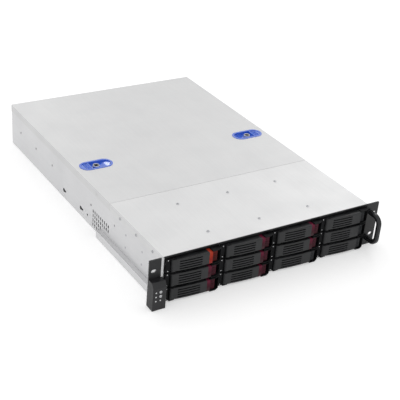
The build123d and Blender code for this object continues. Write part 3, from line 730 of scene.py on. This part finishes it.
def lever_tip(work, node, details):
    """A thin coloured cap over a lever's free end, cut from the lever's own shape and grown by a skin."""
    work.from_mesh(frame["nodes"][node].data)
    bmesh.ops.remove_doubles(work, verts=work.verts, dist=WELD_DISTANCE)
    start = Vector((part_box(node)[1].x - details.tip_reach, 0, 0))
    everything = work.verts[:] + work.edges[:] + work.faces[:]
    cut = bmesh.ops.bisect_plane(work, geom=everything, plane_co=start, plane_no=(1, 0, 0), clear_inner=True)
    rim = [part for part in cut["geom_cut"] if isinstance(part, bmesh.types.BMEdge)]
    bmesh.ops.triangle_fill(work, edges=rim, use_beauty=True, use_dissolve=False)
    bmesh.ops.recalc_face_normals(work, faces=work.faces)
    work.normal_update()
    for vert in work.verts:
        vert.co += vert.normal * details.tip_skin


class CHASSIS_OT_tray_lamps(Operator):
    """Set two small lenses into the lamp strip of each tray."""

    bl_idname = "chassis.tray_lamps"
    bl_label = "Tray lamps"

    def execute(self, context):
        finish = context.scene.chassis_finish
        details = context.scene.chassis_details
        lens = diffusing_acrylic("milky_lens_acrylic", finish.lens_white, finish.dull_zinc)
        profile = dome_profile(details.lens_radius, details.lens_rise)
        y = rack_face - details.strip_front
        for number in range(1, TRAYS + 1):
            low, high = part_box(f"drive_tray_{number}")
            x = low.x + details.strip_width / 2
            places = [(x, y, z) for z in (low.z + details.lens_inset, high.z - details.lens_inset)]
            name, body = f"tray_lamps_{number}", f"tray_{number}"
            piece(name, body, lens, lenses, profile, places, details.lathe_steps)
        return {"FINISHED"}


class CHASSIS_OT_control_marks(Operator):
    """Fill the lamp wells of the control block and print a generic mark on each key."""

    bl_idname = "chassis.control_marks"
    bl_label = "Control marks"

    def execute(self, context):
        finish = context.scene.chassis_finish
        details = context.scene.chassis_details
        lens = diffusing_acrylic("milky_lens_acrylic", finish.lens_white, finish.dull_zinc)
        power = sum(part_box("power_button"), Vector()) / 2
        reset = sum(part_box("reset_button"), Vector()) / 2
        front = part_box("control_block")[0].y
        left = power.x - details.mark_pitch
        # The keys are the two upper marks of the right column, and the lamps are the other four marks.
        lowest = reset.z - (power.z - reset.z)
        marks = [(left, power.z), (left, reset.z), (left, lowest), (power.x, lowest)]
        places = [(x, front, z) for x, z in marks]
        fill = details.well_fill
        profile = dome_profile(details.well_radius * fill, details.well_lens_rise, details.well_depth * fill)
        piece("control_lamps", "chassis", lens, lenses, profile, places, details.lathe_steps)
        ink = pad_ink("dark_pad_ink", finish.mark_ink, finish.key_abs)
        keys = (("power_button", "power_key", power_mark), ("reset_button", "reset_key", ring))
        for node, body, mark in keys:
            low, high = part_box(node)
            centre = Vector(((low.x + high.x) / 2, low.y, (low.z + high.z) / 2))
            piece(node.replace("button", "mark"), body, ink, mark, centre, details)
        return {"FINISHED"}


def ring(work, centre, details):
    """A printed ring on a face that looks forwards, open at the top."""
    rows = []
    for step in range(details.lathe_steps + 1):
        angle = details.ring_gap + 2 * (math.pi - details.ring_gap) * step / details.lathe_steps
        out = Vector((math.sin(angle), 0, math.cos(angle)))
        corners = []
        for side, lift in ((-0.5, 0), (0.5, 0), (0.5, 1), (-0.5, 1)):
            flat = centre + out * (details.ring_radius + side * details.ink_width)
            corners.append(work.verts.new(flat + FORWARD * lift * details.ink_film))
        rows.append(corners)
    for first, second in zip(rows, rows[1:]):
        bridge(work, first, second, closed=True)
    work.faces.new(rows[0])
    work.faces.new(reversed(rows[-1]))


def power_mark(work, centre, details):
    """The same ring with an upright bar in its gap."""
    ring(work, centre, details)
    middle = centre + FORWARD * details.ink_film / 2 + UP * details.bar_height
    size = Matrix.Diagonal((details.ink_width, details.ink_film, details.bar_length, 1))
    bmesh.ops.create_cube(work, size=1, matrix=Matrix.Translation(middle) @ size)


class CHASSIS_OT_latches(Operator):
    """Finish the two blue cover latches, and fill their wells."""

    bl_idname = "chassis.latches"
    bl_label = "Cover latches"

    def execute(self, context):
        finish = context.scene.chassis_finish
        details = context.scene.chassis_details
        well = glossy_abs("blue_bezel_abs", finish.latch_blue, finish.thumb_blue)
        dress("latch_bezels", well, details.soft_edge)
        thumb = glossy_abs("blue_thumb_abs", finish.thumb_blue, finish.latch_blue)
        steel = plated_screw_steel("bright_zinc_eyelet_steel", finish.cut_edge, finish.dull_zinc)
        black = black_oxide_steel("black_oxide_socket_steel", finish.bow_black, finish.highlight_and_rubbed_black)
        low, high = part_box("latch_bezels")
        top = high.z - details.latch_rise
        for side, outer, outward in (("left", low.x, -1), ("right", high.x, 1)):
            dress(f"{side}_latch_button", thumb, details.soft_edge)
            base = Vector((outer - outward * details.latch_length / 2, (low.y + high.y) / 2, low.z))
            dish = (base, top, -outward, details)
            piece(f"{side}_latch_dish", "lid", well, latch_dish, *dish, slot="latch_plastic")
            piece(f"{side}_latch_eyelet", "lid", steel, eyelet, base, top, details)
            piece(f"{side}_latch_socket", "lid", black, socket_head, base, top, details)
        return {"FINISHED"}


def latch_dish(work, base, top, inward, details):
    """The scooped inner end of a finger well, which rises in a hollow curve to the rim."""
    radius = details.latch_width / 2 - details.latch_border
    centre = (details.latch_length - details.latch_width) / 2
    floor = base.z + details.latch_wall
    run = centre + radius - details.dish_start
    patches = details.dish_patches
    upper, lower = [], []
    for row in range(patches + 1):
        along = (run - details.dish_end_gap) * row / patches
        past = max(details.dish_start + along - centre, 0)
        half = math.sqrt(max(radius ** 2 - past ** 2, 0)) - details.dish_side_gap
        climb = along / run
        over, under = [], []
        for column in range(patches + 1):
            across = 2 * column / patches - 1
            x = base.x + inward * (details.dish_start + along)
            y = base.y + half * across
            middle_part = details.dish_climb * climb ** details.dish_hollow
            side_part = details.dish_sides * climb * across ** 2
            rise = details.dish_seat + details.dish_skin + (top - floor) * (middle_part + side_part)
            over.append(work.verts.new((x, y, floor + rise)))
            under.append(work.verts.new((x, y, floor + details.dish_seat)))
        upper.append(over)
        lower.append(under)
    for sheet in (upper, lower):
        for first, second in zip(sheet, sheet[1:]):
            bridge(work, first, second)
    for end in (0, -1):
        bridge(work, upper[end], lower[end])
        bridge(work, [row[end] for row in upper], [row[end] for row in lower])


def eyelet(work, base, top, details):
    """A steel eyelet, flanged under the well's floor, that stands up through its hole."""
    outer = details.eyelet_radius
    bore, flange = outer - details.eyelet_wall, outer + details.flange_reach
    crest = top - details.eyelet_sink - base.z
    bend = details.eyelet_wall / 2
    profile = [
        (bore, -details.flange_bottom), (flange, -details.flange_bottom), (flange, -details.flange_top),
        (outer, -details.flange_top), (outer, crest - bend), (outer - bend, crest), (bore, crest - bend),
        (bore, -details.flange_bottom),
    ]
    turned(work, profile, base, UP, details.lathe_steps)
    bmesh.ops.remove_doubles(work, verts=work.verts, dist=WELD_DISTANCE)


def socket_head(work, base, top, details):
    """The head of a captive socket screw inside the eyelet, with a round recess."""
    radius = details.eyelet_radius - details.eyelet_wall - details.socket_gap
    crest = top - details.eyelet_sink - details.socket_sink - base.z
    sink, chamfer = crest - details.key_depth, details.socket_chamfer
    profile = [
        (0, sink), (details.key_radius, sink), (details.key_radius, crest),
        (radius - chamfer, crest), (radius, crest - chamfer), (radius, 0), (0, 0),
    ]
    turned(work, profile, base, UP, details.lathe_steps)


class CHASSIS_OT_fasteners(Operator):
    """Replace the plain fasteners with cross-recessed screw heads and domed rivets."""

    bl_idname = "chassis.fasteners"
    bl_label = "Screws and rivets"

    def execute(self, context):
        finish = context.scene.chassis_finish
        details = context.scene.chassis_details
        steel = plated_screw_steel("clear_zinc_screw_steel", finish.screw_zinc, finish.shade_and_dirt_zinc)
        made = piece("case_screws", "chassis", steel, fastener_heads, details, slot="fasteners")
        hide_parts("case_fasteners")
        return {"FINISHED"}


def fastener_heads(work, details):
    """A recessed head on the seat of each screw, and a dome on that of each rivet."""
    dome = dome_profile(details.rivet_radius, details.rivet_rise)
    for place, axis, is_screw in fastener_places(details):
        if is_screw:
            screw_head(work, place, axis, details)
        else:
            turned(work, dome, place, axis, details.lathe_steps)


def fastener_places(details):
    """Seat, outward axis and kind of each fastener, read from the solids of its CAD node."""
    work = bmesh.new()
    work.from_mesh(frame["nodes"]["case_fasteners"].data)
    bmesh.ops.remove_doubles(work, verts=work.verts, dist=WELD_DISTANCE)
    places = []
    for solid in separate_solids(work):
        low = Vector(min(vert.co[axis] for vert in solid) for axis in range(3))
        high = Vector(max(vert.co[axis] for vert in solid) for axis in range(3))
        middle = (low + high) / 2
        is_screw = max(high - low) > details.shortest_screw
        if high.z > cover_top:
            places.append((Vector((middle.x, middle.y, cover_top)), UP, True))
        else:
            side = 1 if middle.x > 0 else -1
            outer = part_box("front_cover" if is_screw else "rear_panel")[1].x
            seat = outer if is_screw else outer + details.pan_wall
            places.append((Vector((side * seat, middle.y, middle.z)), Vector((side, 0, 0)), is_screw))
    work.free()
    return places


def separate_solids(work):
    """The corners of each solid that touches no other."""
    left = set(work.verts)
    while left:
        solid, waiting = [], [left.pop()]
        while waiting:
            vert = waiting.pop()
            solid.append(vert)
            near = {link.other_vert(vert) for link in vert.link_edges} & left
            left -= near
            waiting += near
        yield solid


def screw_head(work, place, axis, details):
    """A pan head round a square-cornered cross recess; its rows of corners follow the cross outwards."""
    into = aimed(place, axis)
    half, arm = details.recess_width / 2, details.recess_reach
    cross = []
    for quarter in range(4):
        spin = Matrix.Rotation(quarter * math.pi / 2, 2)
        cross += [spin @ Vector(corner) for corner in ((half, half), (half, arm), (-half, arm))]
    crest = details.head_rise
    floor = [corner * details.recess_taper for corner in cross]
    rows = [row_of(work, into, floor, crest - details.recess_depth), row_of(work, into, cross, crest)]
    for radius, height in PAN_HEAD:
        outline = [corner.normalized() * details.head_radius * radius for corner in cross]
        rows.append(row_of(work, into, outline, crest * height))
    for inner, outer in zip(rows, rows[1:]):
        bridge(work, inner, outer, closed=True)
    work.faces.new(rows[0])
    work.faces.new(rows[-1])


class CHASSIS_OT_inside(Operator):
    """Finish the drive board, the fan housings and the rotors."""

    bl_idname = "chassis.inside"
    bl_label = "Board and fans"

    def execute(self, context):
        finish = context.scene.chassis_finish
        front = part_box("backplane")[1].y - context.scene.chassis_details.board_thickness
        tones = (finish.mask_green, finish.fan_black, finish.track_green)
        dress("backplane", drive_board_finish("solder_mask_board", *tones, front))
        fan = textured_abs("glass_filled_fan_pbt", finish.fan_black, finish.highlight_and_rubbed_black, highlight_and_wear=0.3)
        dress("fan_frames", fan)
        for number in range(1, FANS + 1):
            dress(f"fan_rotor_{number}", fan)
        return {"FINISHED"}


class CHASSIS_OT_studio(Operator):
    """Set up the floor, the lamps, the sky and the camera."""

    bl_idname = "chassis.studio"
    bl_label = "Studio"

    def execute(self, context):
        studio = context.scene.chassis_studio
        context.scene.view_settings.view_transform = "Standard"
        lay_floor(studio)
        light_sky(context.scene, studio)
        hang_lamp("key_lamp", studio.key_place, studio.key_size, studio.key_power)
        hang_lamp("rear_lamp", studio.rear_place, studio.rear_size, studio.rear_power)
        hang_lamp("fill_lamp", studio.fill_place, studio.fill_size, studio.fill_power)
        place_camera(context.scene, studio)
        return {"FINISHED"}


def lay_floor(studio):
    """A wide floor just under the chassis."""
    work = bmesh.new()
    bmesh.ops.create_grid(work, x_segments=1, y_segments=1, size=studio.floor_reach)
    mesh = bpy.data.meshes.new("studio_floor")
    work.to_mesh(mesh)
    work.free()
    mesh.materials.append(painted_floor("painted_studio_board", studio))
    floor = bpy.data.objects.new("studio_floor", mesh)
    floor.location.z = cad_box[0].z - studio.floor_gap
    bpy.context.scene.collection.objects.link(floor)


def light_sky(scene, studio):
    """An even sky that the camera and shiny surfaces see as plain white."""
    scene.world = bpy.data.worlds.new("studio_sky")
    scene.world.use_nodes = True
    tree = scene.world.node_tree
    tree.nodes.clear()
    links = {"Value": seen_rays(tree), "To Min": studio.sky, "To Max": studio.seen_sky}
    strength = add(tree, "MapRange", links).outputs["Result"]
    sky = add(tree, "Background", {"Color": WHITE, "Strength": strength})
    add(tree, "OutputWorld", {"Surface": sky.outputs["Background"]})


def hang_lamp(name, place, size, power):
    """A square soft box that faces the middle of the chassis."""
    data = bpy.data.lights.new(name, "AREA")
    data.shape = "SQUARE"
    data.size = size
    data.energy = power
    lamp = bpy.data.objects.new(name, data)
    lamp.location = place
    lamp.rotation_euler = (-Vector(place)).to_track_quat("-Z", "Y").to_euler()
    bpy.context.scene.collection.objects.link(lamp)


def place_camera(scene, studio):
    """The camera looks along a yaw, a pitch and a roll, as found from the photograph's edges."""
    data = bpy.data.cameras.new("camera")
    data.sensor_width = studio.camera_film
    data.lens = studio.camera_lens
    yaw, pitch, roll = studio.camera_yaw, studio.camera_pitch, studio.camera_roll
    ahead = Vector((math.sin(yaw) * math.cos(pitch), math.cos(yaw) * math.cos(pitch), -math.sin(pitch)))
    level = Vector((math.cos(yaw), -math.sin(yaw), 0))
    upright = level.cross(ahead)
    right = math.cos(roll) * level + math.sin(roll) * upright
    up = math.cos(roll) * upright - math.sin(roll) * level
    facing = Matrix((right, up, -ahead)).transposed().to_4x4()
    camera = bpy.data.objects.new("camera", data)
    camera.matrix_world = Matrix.Translation(studio.camera_place) @ facing
    scene.collection.objects.link(camera)
    scene.camera = camera


OPERATORS = (
    CHASSIS_OT_sheet_metal,
    CHASSIS_OT_front_frame,
    CHASSIS_OT_trays,
    CHASSIS_OT_tray_lamps,
    CHASSIS_OT_control_marks,
    CHASSIS_OT_latches,
    CHASSIS_OT_fasteners,
    CHASSIS_OT_inside,
    CHASSIS_OT_studio,
)
GROUPS = {"chassis_finish": ChassisFinish, "chassis_details": ChassisDetails, "chassis_studio": ChassisStudio}


class CHASSIS_PT_workshop(Panel):
    """Lists the pieces, their colours and sizes, and the studio."""

    bl_idname = "CHASSIS_PT_workshop"
    bl_label = "Chassis"
    bl_space_type = "VIEW_3D"
    bl_region_type = "UI"
    bl_category = "Chassis"

    def draw(self, context):
        for operator in OPERATORS:
            self.layout.operator(operator.bl_idname)
        for group in GROUPS:
            settings = getattr(context.scene, group)
            box = self.layout.box()
            for key in settings.__annotations__:
                box.prop(settings, key)


def register():
    for group in GROUPS.values():
        bpy.utils.register_class(group)
    for name, group in GROUPS.items():
        setattr(bpy.types.Scene, name, PointerProperty(type=group))
    for kind in OPERATORS + (CHASSIS_PT_workshop,):
        bpy.utils.register_class(kind)


def unregister():
    for kind in reversed(OPERATORS + (CHASSIS_PT_workshop,)):
        bpy.utils.unregister_class(kind)
    for name, group in GROUPS.items():
        delattr(bpy.types.Scene, name)
        bpy.utils.unregister_class(group)


def main():
    """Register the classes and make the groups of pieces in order."""
    register()
    for operator in OPERATORS:
        name = operator.bl_idname.split(".")[1]
        getattr(bpy.ops.chassis, name)()


if __name__ == "__main__":
    main()
